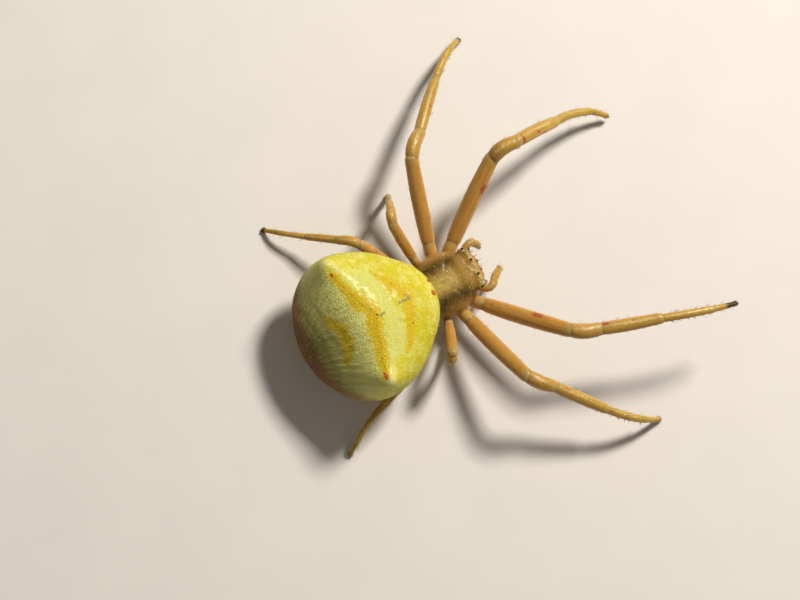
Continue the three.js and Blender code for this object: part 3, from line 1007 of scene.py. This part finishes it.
@dataclass
class Prosoma:
    """Head and thorax with the coxae, as one skin."""

    voxel_mm: float = 0.07
    carapace_width: float = 3.0
    carapace_length: float = 3.1
    margin_height: float = 1.65
    crown_height: float = 2.8
    sternum_height: float = 0.9
    corner: tuple[float, float, float] = (0.92, -1.26, 2.73)
    granules: int = 320
    glints: int = 60
    bristles: int = 130
    bristle_radius: float = 0.009

    def carapace(self, d: np.ndarray) -> np.ndarray:
        """Rounded disc with steep sides and a low crown."""
        s = d[:, 1]
        half = self.carapace_width / 2 * (1 + 0.06 * s)
        crown = self.crown_height - self.margin_height - 0.12 * (s + 1)
        rise = np.where(d[:, 2] > 0, np.abs(d[:, 2]) ** 0.8 * crown, -np.abs(d[:, 2]) * 0.5)
        return np.stack([
            power(d[:, 0], 0.85) * half, self.carapace_length / 2 * s + 0.05, self.margin_height + rise], 1)

    def head(self, d: np.ndarray) -> np.ndarray:
        """Squared block that carries the eyes, narrower in front."""
        half = 1.02 + 0.14 * d[:, 1]
        return np.stack([
            half * power(d[:, 0], 0.55), -0.8 + 0.7 * power(d[:, 1], 0.65) - 0.1 * (1 - d[:, 0] ** 2),
            2.1 + 0.7 * power(d[:, 2], 0.55)], 1)

    def sternum(self, d: np.ndarray) -> np.ndarray:
        """Shield between the legs on the underside."""
        return np.stack([
            d[:, 0] * 1.0, 0.05 + d[:, 1] * 1.35, 1.35 + d[:, 2] * (1.35 - self.sternum_height)], 1)

    def forms(self, bm: bmesh.types.BMesh) -> None:
        """Add every rounded form that the skin is drawn over."""
        for shape in (self.carapace, self.head, self.sternum):
            made = bmesh.ops.create_uvsphere(bm, u_segments=64, v_segments=48, radius=1.0)
            bmesh.ops.rotate(bm, verts=made["verts"], matrix=Matrix.Rotation(math.pi / 2, 3, "X"))
            for vert, place in zip(made["verts"], shape(np.array([v.co for v in made["verts"]]))):
                vert.co = place
        Spindle(Vector((0, 1.1, 1.75)), Vector((0, 1.95, 1.72)), (0.3, 0.24, 0.24)).build(bm)
        Spindle(Vector((0, -1.2, 1.3)), Vector((0, -1.42, 1.1)), (0.24, 0.24, 0.18)).build(bm)
        for side in Side:
            flip = Vector((side.value, 1, 1))
            corner = Vector(self.corner) * flip
            Spindle(corner - Vector((0.3 * side.value, -0.1, 0.14)), corner, (0.24, 0.2, 0.12)).build(bm)
            for _, place in Head.places:
                eye = (Vector(place) - Vector((0, -0.03, 0.03))) * flip
                deep = eye.lerp(Vector((eye.x * 0.8, -0.8, 2.3)), 0.4)
                Spindle(deep, eye, (0.17, 0.15, 0.095)).build(bm)
            Spindle(Vector((0.4, -1.15, 1.35)) * flip, Vector((0.36, -1.75, 1.0)) * flip,
                    (0.2, 0.19, 0.12)).build(bm)
            for pair in PAIRS.values():
                hip = Vector(pair.hip)
                root = Vector((hip.x * 0.45, hip.y * 0.45, 1.25))
                size = pair.radii[0][0] / 0.32
                Spindle(root * flip, hip * flip, (0.3 * size, 0.33 * size, 0.3 * size)).build(bm)
        for path in PALPS.values():
            base = Vector(path[0])
            Spindle(Vector((base.x * 0.6, -1.0, 1.45)), base, (0.22, 0.2, 0.17)).build(bm)

    def skin(self) -> tuple[np.ndarray, bmesh.types.BMesh]:
        """Draw one closed skin over all the forms, and give it furrows, granules and a rough eye ridge.

        Returns:
            The places of its points, and its mesh in millimetres.
        """
        bm = bmesh.new()
        self.forms(bm)
        rough = object_from(bm, "prosoma_forms")
        remesh = rough.modifiers.new("skin", "REMESH")
        remesh.mode = "VOXEL"
        remesh.voxel_size = self.voxel_mm
        melt = rough.modifiers.new("melt", "SMOOTH")
        melt.factor = 0.5
        melt.iterations = 8
        finer = rough.modifiers.new("finer", "SUBSURF")
        finer.levels = finer.render_levels = 1
        drawn = bmesh.new()
        drawn.from_object(rough, bpy.context.evaluated_depsgraph_get())
        bpy.data.objects.remove(rough)
        drawn.normal_update()
        points = np.array([v.co for v in drawn.verts])
        normals = np.array([v.normal for v in drawn.verts])
        points = points + normals * self.relief(points)[:, None]
        for vert, place in zip(drawn.verts, points):
            vert.co = place
        return points, drawn

    def relief(self, points: np.ndarray) -> np.ndarray:
        """Height of furrows, granules and the crumpled eye ridge over the smooth skin."""
        x, y, z = points.T
        upper = step(z, 1.7, 2.1)
        turn = np.arctan2(x, y - 0.35)
        away = np.hypot(x, y - 0.35)
        furrows = -0.025 * np.maximum(0, np.cos(turn * 6)) ** 6 * bump(away - 0.85, 0.4) * upper
        pit = -0.05 * bump(np.hypot(x * 3, y - 0.45), 0.22) * upper
        ridge = self.ridge_mask(points)
        crumple = 0.04 * grain(points, 0.12) * ridge + 0.005 * grain(points, 0.12, 5.0) * upper
        draw = random.Random(11)
        lumps = np.zeros(len(points))
        for _ in range(self.granules):
            gx, gy = draw.uniform(-1.3, 1.3), draw.uniform(-1.35, 1.3)
            size = draw.uniform(0.02, 0.035)
            close = (np.abs(x - gx) < 0.15) & (np.abs(y - gy) < 0.15) & (z > 1.9)
            lumps[close] += 0.45 * size * bump(np.hypot(x[close] - gx, y[close] - gy), size)
        return furrows + pit + crumple + lumps

    def ridge_mask(self, points: np.ndarray) -> np.ndarray:
        """Where the pale crumpled edge that carries the eyes runs."""
        x, y, z = points.T
        line = -1.42 + 0.22 * x**2
        return bump(y - line - 0.08, 0.16) * step(z, 2.3, 2.6) * (1 - step(np.abs(x), 1.05, 1.2))

    def paint(self, piece: bpy.types.Object, points: np.ndarray) -> None:
        """Write the markings of the cuticle as attributes of the skin.

        Args:
            piece: the finished skin.
            points: its vertices in the animal's millimetres.
        """
        x, y, z = points.T
        width = np.abs(x)
        upper = step(z, 1.75, 2.1)
        wander = 0.06 * grain(points, 0.5, 3.0)
        centre = 0.86 - 0.05 * y + wander
        dots = 1 + 0.3 * grain(points, 0.12, 6.0)
        band = 0.95 * bump(width - centre, 0.3) ** 0.8 * (0.05 + 0.95 * step(y, -1.0, -0.1)) * upper * dots
        cloud = 1 + 0.35 * grain(points, 0.35, 8.0)
        median = (1 - step(width + wander, 0.1, 0.9)) * step(y, -1.5, 0.9) * upper * cloud
        ridge = self.ridge_mask(points)
        soot = 0.36 * ridge
        for _, place in Head.places:
            for sign in (1, -1):
                spot = np.array(place) * (sign, 1, 1)
                soot = np.maximum(soot, bump(np.linalg.norm(points - spot, axis=1) - 0.1, 0.05) * 0.35)
        corner = np.linalg.norm(np.stack([width, y, z], 1) - self.corner, axis=1)
        soot = np.maximum(soot, bump(corner - 0.12, 0.16) * 0.45 * step(z, 2.4, 2.6))
        blush = bump(y + 1.55, 0.14) * step(z, 2.3, 2.5) * bump(width - 0.35, 0.4) * 0.9
        draw = random.Random(23)
        glint = np.zeros(len(points))
        for _ in range(self.glints):
            gx, gy = draw.gauss(0, 0.5), draw.uniform(-1.4, 1.2)
            close = (np.abs(x - gx) < 0.12) & (np.abs(y - gy) < 0.12) & (z > 1.9)
            glint[close] = np.maximum(glint[close], 0.9 * bump(
                np.hypot(x[close] - gx, y[close] - gy), draw.uniform(0.014, 0.026)))
        shell = upper * (0.85 - 0.8 * step(width, 1.0, 1.3)) + 0.05
        course = np.stack([x * 0.6, y * 0.35, z * 0.6], 1)
        write_masks(piece, {
            "shell": shell, "median": median, "band": band, "ridge": ridge * 0.7, "soot": soot,
            "blush": blush, "glint": glint, "pale": 0.35 * bump(z - 1.0, 0.3) * (width < 1.4)}, course)

    def build(self, material: bpy.types.Material) -> bpy.types.Object:
        """Make and dress the skin of head and thorax.

        Args:
            material: its finish.

        Returns:
            The finished piece.
        """
        points, bm = self.skin()
        to_part(bm)
        piece = object_from(bm, "prosoma_skin")
        self.paint(piece, points)
        piece.data.materials.append(material)
        return declare(piece, ["cephalothorax"])

    def grow_bristles(self, coat: Coat, skin: bpy.types.Object) -> None:
        """Scatter short stiff bristles over the carapace, longer along the front edge.

        Args:
            coat: the mesh they are joined in.
            skin: the finished skin, for the roots.
        """
        mesh = skin.data
        count = len(mesh.vertices)
        placed = 0
        while placed < self.bristles:
            vert = mesh.vertices[coat.draw.randrange(count)]
            place = vert.co / MM - OFFSET
            front = place.y < -1.1 and place.z > 1.9
            if place.z < 1.75 or (not front and coat.draw.random() < 0.35):
                continue
            out = vert.normal.copy()
            lean = (out + Vector((0, -0.5, 0.1))).normalized()
            length = coat.draw.uniform(0.16, 0.3) if front else coat.draw.uniform(0.07, 0.15)
            spot = (0.94 + place.x / 60, 0.5 + place.y / 8)
            coat.add(place, lean, length, self.bristle_radius, spot, NO_BEND, 3)
            placed += 1


def distance_to(points: np.ndarray, path: Sequence[Sequence[float]]) -> tuple[np.ndarray, np.ndarray]:
    """Distance of points from a path seen from above, and how far along the path they are.

    Args:
        points: an array of places.
        path: x and y of the path's corners.

    Returns:
        The distances and the shares of the path's length.
    """
    best = np.full(len(points), 1e9)
    share = np.zeros(len(points))
    corners = np.array(path, float)
    lengths = np.linalg.norm(np.diff(corners, axis=0), axis=1)
    done = 0.0
    for start, end, length in zip(corners[:-1], corners[1:], lengths):
        t = np.clip((points[:, :2] - start) @ (end - start) / length**2, 0, 1)
        away = np.linalg.norm(points[:, :2] - start - np.outer(t, end - start), axis=1)
        share = np.where(away < best, (done + t * length) / lengths.sum(), share)
        best = np.minimum(best, away)
        done += length
    return best, share


@dataclass
class Abdomen:
    """The broad two-horned abdomen with its chevrons, spots and spinnerets."""

    front: float = ABDOMEN_FRONT
    length: float = 6.85
    half_width: float = 3.48
    horn: tuple[float, float, float] = (3.0, 5.45, 3.75)
    horn_rise: tuple[float, float] = (0.62, 0.42)
    detail: int = 7
    line_specks: int = 46
    hair_length: tuple[float, float] = (0.07, 0.13)
    hair_radius: float = 0.006
    front_chevron: tuple[tuple[float, float], ...] = (
        (1.95, 3.57), (1.21, 3.19), (0.46, 2.79), (-0.05, 2.59), (-0.99, 2.98), (-2.01, 3.59), (-2.25, 3.89))
    main_chevron: tuple[tuple[float, float], ...] = (
        (2.45, 5.34), (1.7, 5.12), (1.04, 4.95), (0.48, 4.7), (-0.09, 4.49), (-0.76, 4.75), (-2.14, 5.16),
        (-2.95, 5.44))
    rear_patch: tuple[tuple[float, float], ...] = ((0.72, 6.4), (0.1, 6.14), (-0.66, 6.18), (-1.29, 6.43))
    rust_spots: tuple[tuple[float, float, float, float], ...] = (
        (0.36, 1.13, 0.11, 0.11), (-0.27, 1.23, 0.17, 0.14), (2.5, 5.36, 0.1, 0.08), (-2.78, 5.4, 0.26, 0.1))
    specks: tuple[tuple[float, float, float], ...] = (
        (-1.14, 2.94, 0.05), (2.39, 4.27, 0.04), (2.29, 4.06, 0.035), (0.93, 2.97, 0.04), (0.6, 4.81, 0.04),
        (-0.09, 4.38, 0.06), (-1.5, 4.9, 0.035), (-1.9, 5.0, 0.035), (2.6, 3.9, 0.03), (0.2, 4.5, 0.03))
    grey_lines: tuple[tuple[tuple[float, float], ...], ...] = (
        ((-0.05, 2.5), (-0.02, 2.87), (-0.04, 3.1)), ((0.2, 2.66), (-0.05, 2.5)),
        ((-0.14, 4.0), (-0.2, 4.25)))
    dimples: tuple[tuple[float, float, float], ...] = (
        (0.62, 2.2, 0.13), (0.85, 3.5, 0.15), (1.15, 4.5, 0.12))
    spinneret_pairs: ClassVar = (
        ((0.16, 6.75, 1.05), (0.2, 7.15, 0.62), (0.22, 0.2, 0.12)),
        ((0.12, 7.1, 1.2), (0.15, 7.5, 0.85), (0.2, 0.16, 0.1)))

    def form(self, d: np.ndarray) -> np.ndarray:
        """Narrow in front, widest at the two horns, steep and full behind."""
        s = d[:, 1]
        half = self.half_width + 0.58 * s - 0.2 * bump(s + 0.72, 0.22)
        centre = 2.45 - 0.3 * s
        top = 1.45 + 0.72 * bump(s - 0.25, 0.55) - 0.15 * s
        bottom = 1.5 + 0.42 * bump(s - 0.2, 0.65)
        under = d[:, 2] < 0
        waist = np.where(under, 1 - 0.16 * np.sin(np.pi * np.minimum(1, -d[:, 2])), 1)
        x = d[:, 0] * half * waist
        y = self.front + self.length * (1 + s) / 2
        z = centre + d[:, 2] * np.where(under, bottom, top)
        away = np.sqrt((np.abs(x) - self.horn[0]) ** 2 + (y - self.horn[1]) ** 2 + (z - self.horn[2]) ** 2)
        lift = self.horn_rise[0] * bump(away, 1.35) + self.horn_rise[1] * bump(away, 0.6)
        return np.stack([x + np.sign(x) * 0.35 * lift, y, z + 0.92 * lift], 1)

    def relief(self, points: np.ndarray, d: np.ndarray) -> np.ndarray:
        """Height of dimples, folds and the lung covers over the smooth skin."""
        x, y, z = points.T
        ridge = y - (4.5 + 0.32 * np.abs(x))
        turn = np.arctan2(d[:, 2], d[:, 0])
        dents = np.zeros(len(points))
        for mark_x, mark_y, size in self.dimples:
            away = np.hypot(np.abs(x) - mark_x, y - mark_y)
            dents -= 0.035 * bump(away, size) * (z > 2.8)
        wander = 1.2 * grain(points, 1.4)
        folds = 0.012 * np.sin(turn * 46 + wander * 3) * step(ridge, 0.3, 1.2) * step(z, 0.4, 1.0)
        rings = 0.007 * np.sin(points[:, 1] * 13 + wander * 2) * step(ridge, 0.8, 1.8)
        under = 1 - step(z, 1.0, 1.6)
        lungs = 0.06 * bump(np.hypot((np.abs(x) - 0.85) / 1.2, y - 2.15), 0.42) * under
        furrow = -0.07 * bump(y - 2.62 + 0.08 * np.abs(x), 0.07) * (1 - step(np.abs(x), 1.3, 1.7)) * under
        plate = 0.05 * bump(np.hypot(x, y - 2.4), 0.28) * under
        return dents + folds + rings + lungs + furrow + plate + 0.008 * grain(points, 0.3, 9.0)

    def masks(self, points: np.ndarray) -> dict[str, np.ndarray]:
        """Work out the markings of the skin, with its painted shade and painted reflected light.

        Args:
            points: its vertices in the animal's millimetres.

        Returns:
            One array for each painted mask.
        """
        x, y, z = points.T
        upper = step(z, 2.9, 3.3)
        ridge = y - (4.5 + 0.32 * np.abs(x))
        wander = grain(points, 0.7, 2.0)
        gold = np.zeros(len(points))
        ochre = np.zeros(len(points))
        chevrons = ((self.front_chevron, 0.34, 0.7, 0.25), (self.main_chevron, 0.44, 1.0, 0.5))
        for path, width, ends, dots in chevrons:
            away, share = distance_to(points, path)
            middle = np.sin(np.pi * np.clip(share, 0.02, 0.98))
            wide = width * (0.38 + 0.68 * middle) * (1 + 0.45 * wander)
            gold = np.maximum(gold, bump(away, wide) * (ends + (1 - ends) * middle) * upper)
            ochre = np.maximum(ochre, bump(away, wide * 0.6) * upper * dots)
        away, share = distance_to(points, self.rear_patch)
        haze = bump(away, 0.4 * (1 + 0.5 * wander)) * (0.65 + 0.2 * np.sin(np.pi * share)) * upper
        horns = np.sqrt((np.abs(x) - 3.3) ** 2 + (y - 5.5) ** 2 + (z - 4.4) ** 2)
        chalk = 0.75 * bump(horns, 0.5)
        for sign in (1, -1):
            away, share = distance_to(points, ((sign * 3.1, 5.2), (sign * 1.6, 4.35), (0.0, 3.75)))
            chalk = np.maximum(chalk, bump(away, 0.3) * (0.6 - 0.4 * share) * upper)
        between = step(y, 3.1, 3.5) * (1 - step(ridge, -0.1, 0.3)) * (1 - step(np.abs(x), 1.9, 2.8))
        behind = step(ridge, 0.0, 0.5)
        under = 1 - step(z, 0.7, 1.7)
        masks = {"gold": gold, "haze": haze, "ochre": ochre, "chalk": chalk, "rear": behind, "under": under,
                 "field": np.maximum(between * 0.75, behind * (1 - step(ridge, 0.7, 1.8)) * 0.35) * upper,
                 "shade": np.clip((ridge - 0.7) / 2.3, 0, 1) ** 1.2 * step(z, 0.6, 2.0),
                 # Painted reflected light along the lower and rear edges of the skin.
                 "rim": bump(z - 2.1, 1.0) * (0.45 + 0.45 * behind)}
        rust = np.zeros(len(points))
        for mark_x, mark_y, size_x, size_y in self.rust_spots:
            rust = np.maximum(rust, np.exp(-(((x - mark_x) / size_x) ** 2 + ((y - mark_y) / size_y) ** 2)))
        masks["rust"] = rust * step(z, 2.3, 2.8)
        speck = np.zeros(len(points))
        for mark_x, mark_y, size in self.specks:
            speck = np.maximum(speck, bump(np.hypot(x - mark_x, y - mark_y), size) * upper)
        draw = random.Random(31)
        for _ in range(self.line_specks):
            share, reach = draw.random(), draw.gauss(0, 0.13)
            sign = 1 if draw.random() < 0.4 else -1
            mark_x, mark_y = sign * share * 2.7, 4.5 + 0.32 * share * 2.7 + reach
            close = (np.abs(x - mark_x) < 0.12) & (np.abs(y - mark_y) < 0.12) & (z > 2.9)
            speck[close] = np.maximum(speck[close], 0.8 * bump(
                np.hypot(x[close] - mark_x, y[close] - mark_y), draw.uniform(0.02, 0.035)))
        masks["speck"] = speck
        masks["grey"] = np.zeros(len(points))
        for path in self.grey_lines:
            away, _ = distance_to(points, path)
            masks["grey"] = np.maximum(masks["grey"], 0.75 * bump(away, 0.09) * upper)
        for mark_x, mark_y, size in self.dimples:
            away = np.hypot(np.abs(x) - mark_x, y - mark_y)
            masks["grey"] = np.maximum(masks["grey"], 0.35 * bump(away, size * 0.7) * upper)
        return masks

    def build(self) -> bpy.types.Object:
        """Make and dress the skin of the abdomen.

        Returns:
            The finished piece.
        """
        bm = bmesh.new()
        bmesh.ops.create_icosphere(bm, subdivisions=self.detail, radius=1.0)
        directions = np.array([v.co for v in bm.verts])
        smooth = self.form(directions)
        for vert, place in zip(bm.verts, smooth):
            vert.co = place
        bm.normal_update()
        normals = np.array([v.normal for v in bm.verts])
        points = smooth + normals * self.relief(smooth, directions)[:, None]
        for vert, place in zip(bm.verts, points):
            vert.co = place
        to_part(bm)
        piece = object_from(bm, "abdomen_skin")
        turn = np.arctan2(directions[:, 2], directions[:, 0])
        course = np.stack([3.2 * np.cos(turn), 3.2 * np.sin(turn), 0.14 * points[:, 1]], 1)
        write_masks(piece, self.masks(smooth), course)
        piece.data.materials.append(LemonSkin().material())
        return declare(piece, ["abdomen"])

    def grow_hairs(self, coat: Coat, skin: bpy.types.Object, count: int = 900) -> None:
        """Scatter short pale hairs that lie backwards over the skin.

        Args:
            coat: the mesh they are joined in.
            skin: the finished skin, for the roots.
            count: how many.
        """
        mesh = skin.data
        for _ in range(count):
            vert = mesh.vertices[coat.draw.randrange(len(mesh.vertices))]
            place = vert.co / MM - OFFSET
            out = vert.normal.copy()
            lean = (out * 0.8 + Vector((0, 0.6, -0.1))).normalized()
            away = (place - Vector((0, 4.4, 2.5))).normalized()
            spot = (0.01 + 0.98 * (math.atan2(away.x, away.z) / math.tau % 1.0), 0.02 + 0.48 * (away.y + 1))
            coat.add(place, lean, coat.draw.uniform(*self.hair_length), self.hair_radius, spot, NO_BEND, 3)

    def spinnerets(self, finish: bpy.types.Material) -> bpy.types.Object:
        """Make the two pairs of spinnerets under the rear."""
        bm = bmesh.new()
        for side in Side:
            flip = Vector((side.value, 1, 1))
            for start, end, radii in self.spinneret_pairs:
                teat = Spindle(Vector(start) * flip, Vector(end) * flip, radii, flare=0.1, neck=0.1)
                teat.build(bm, 18, 30)
        to_part(bm)
        piece = object_from(bm, "spinnerets")
        piece.data.materials.append(finish)
        return declare(piece)


@dataclass
class Head:
    """The eight eyes and the jaws."""

    eye_radius: float = 0.066
    places: ClassVar[tuple[tuple[str, tuple[float, float, float]], ...]] = (
        ("eye_back_outer", (1.0, -1.12, 2.8)),
        ("eye_back_inner", (0.36, -1.24, 2.84)),
        ("eye_front_outer", (0.84, -1.42, 2.66)),
        ("eye_front_inner", (0.22, -1.52, 2.58)),
    )
    jaw: ClassVar = ((0.36, -1.45, 1.85), (0.36, -1.62, 1.15), (0.25, 0.27, 0.2))
    fang: ClassVar = ((0.38, -1.66, 1.0), (0.22, -1.66, 0.72), (0.12, 0.09, 0.04))

    def eyes(self) -> list[bpy.types.Object]:
        """Make the eight lenses, each its own piece.

        Returns:
            The finished pieces.
        """
        finish = EyeLens().material()
        made = []
        for name, place in self.places:
            for side in Side:
                bm = bmesh.new()
                bmesh.ops.create_icosphere(bm, subdivisions=4, radius=self.eye_radius)
                bmesh.ops.translate(bm, verts=bm.verts, vec=Vector(place) * Vector((side.value, 1, 1)))
                to_part(bm)
                node_name = f"{name}_{side.name.lower()}"
                piece = object_from(bm, f"{node_name}_lens")
                piece.data.materials.append(finish)
                made.append(declare(piece, [node_name]))
        return made

    def jaws(self) -> bpy.types.Object:
        """Make the two jaws with their fangs."""
        bm = bmesh.new()
        for side in Side:
            flip = Vector((side.value, 1, 1))
            for start, end, radii in (self.jaw, self.fang):
                Spindle(Vector(start) * flip, Vector(end) * flip, radii).build(bm)
        to_part(bm)
        piece = object_from(bm, "jaws")
        piece.data.materials.append(HornCuticle(root="A06A26", tip="7A4A1C").material())
        return declare(piece, ["chelicera_left", "chelicera_right"])


@dataclass(frozen=True)
class Lamp:
    """A square lamp: its place in the animal's millimetres, its side, power and colour."""

    name: str
    place: tuple[float, float, float]
    size_mm: float
    power_w: float
    colour: str


@dataclass
class Studio:
    """Pale floor and soft light, with the key from the photograph's upper right."""

    floor_mm: float = 900.0
    aim_height: float = 2.0
    room_colour: str = "FFF6EC"
    room_light: float = 0.14
    lamps: tuple[Lamp, ...] = (
        Lamp("key", (50.0, -110.0, 140.0), 36.0, 0.44, "FFF6E8"),
        Lamp("fill", (-140.0, 60.0, 160.0), 200.0, 0.035, "FFF4E6"),
    )

    def floor(self) -> bpy.types.Object:
        """Lay the floor under the feet."""
        bm = bmesh.new()
        bmesh.ops.create_grid(bm, x_segments=2, y_segments=2, size=self.floor_mm * MM / 2)
        piece = object_from(bm, "floor")
        piece.data.materials.append(MuseumFloor().material())
        return piece

    def hang(self, lamp: Lamp) -> bpy.types.Object:
        """Hang one soft lamp that looks at the animal.

        Args:
            lamp: its place, size, power and colour.

        Returns:
            The lamp.
        """
        data = bpy.data.lights.new(lamp.name, "AREA")
        data.size = lamp.size_mm * MM
        data.energy = lamp.power_w
        data.color = linear(lamp.colour)[:3]
        made = bpy.data.objects.new(lamp.name, data)
        made.location = (Vector(lamp.place) + OFFSET) * MM
        away = Vector((0, 0, self.aim_height)) - Vector(lamp.place)
        made.rotation_euler = away.to_track_quat("-Z", "Y").to_euler()
        bpy.context.scene.collection.objects.link(made)
        return made

    def light(self) -> None:
        """Hang the key and the fill, set the even light of the room, and keep the colours unbent."""
        for lamp in self.lamps:
            self.hang(lamp)
        world = bpy.data.worlds.new("room")
        world.use_nodes = True
        background = world.node_tree.nodes["Background"]
        background.inputs["Color"].default_value = linear(self.room_colour)
        background.inputs["Strength"].default_value = self.room_light
        bpy.context.scene.world = world
        # The lemon yellow and the amber bleach under the default view transform.
        bpy.context.scene.view_settings.view_transform = "Standard"


def grow_limb_coats(limbs: Sequence[Limb], prosoma: Prosoma, prosoma_skin: bpy.types.Object) -> None:
    """Grow the fine bristles, spines and claw tufts of the limbs and the carapace."""
    hair = HornCuticle("bristle_chitin", "B08A4A", "6E4E22", 0.2, 0.35).material()
    dark = HornCuticle("claw_chitin", "3A2814", "120C06", 0.1, 0.3).material()
    hairs = Coat("limb_hairs", "amber_cuticle", 3)
    spines = Coat("limb_spines", "horn_cuticle", 5)
    claws = Coat("dark_feet", "horn_cuticle", 7)
    soft = Coat("amber_feet", "horn_cuticle", 8)
    for limb in limbs:
        front = limb.name.endswith(("_1", "_2"))
        limb.grow_hairs(hairs, 11.0 if front else 8.0)
        if front:
            limb.grow_spines(spines)
        limb.grow_claws(claws if limb.name in DARK_FEET else soft)
    prosoma.grow_bristles(hairs, prosoma_skin)
    hairs.finish(hair)
    spines.finish(HornCuticle("spine_chitin", "7A5420", "2E1E0C", 0.1, 0.3).material())
    claws.finish(dark)
    soft.finish(HornCuticle("amber_claw_chitin", "A07434", "5E4420", 0.1, 0.35).material())


def main() -> None:
    """Build the pieces in order and report each one."""
    logging.basicConfig(level=logging.INFO, format="%(relativeCreated)d ms %(message)s", stream=sys.stdout)
    Camera().place()
    Studio().floor()
    Studio().light()
    amber = AmberCuticle().material()
    prosoma = Prosoma()
    prosoma_skin = prosoma.build(amber)
    limbs = [Limb.leg(stance, i) for i, stance in enumerate(STANCES)]
    limbs += [Limb.palp(name, len(STANCES) + i) for i, name in enumerate(PALPS)]
    for limb in limbs:
        limb.build(amber)
    abdomen = Abdomen()
    skin = abdomen.build()
    abdomen.spinnerets(HornCuticle("spinneret_skin", "B98A3C", "8A6A30", 0.12, 0.45).material())
    head = Head()
    head.eyes()
    head.jaws()
    grow_limb_coats(limbs, prosoma, prosoma_skin)
    down = Coat("abdomen_hairs", "lemon_skin", 9)
    abdomen.grow_hairs(down, skin)
    down.finish(HornCuticle("pale_hair", "D8CC8A", "A89048", 0.2, 0.4).material())


if __name__ == "__main__":
    main()
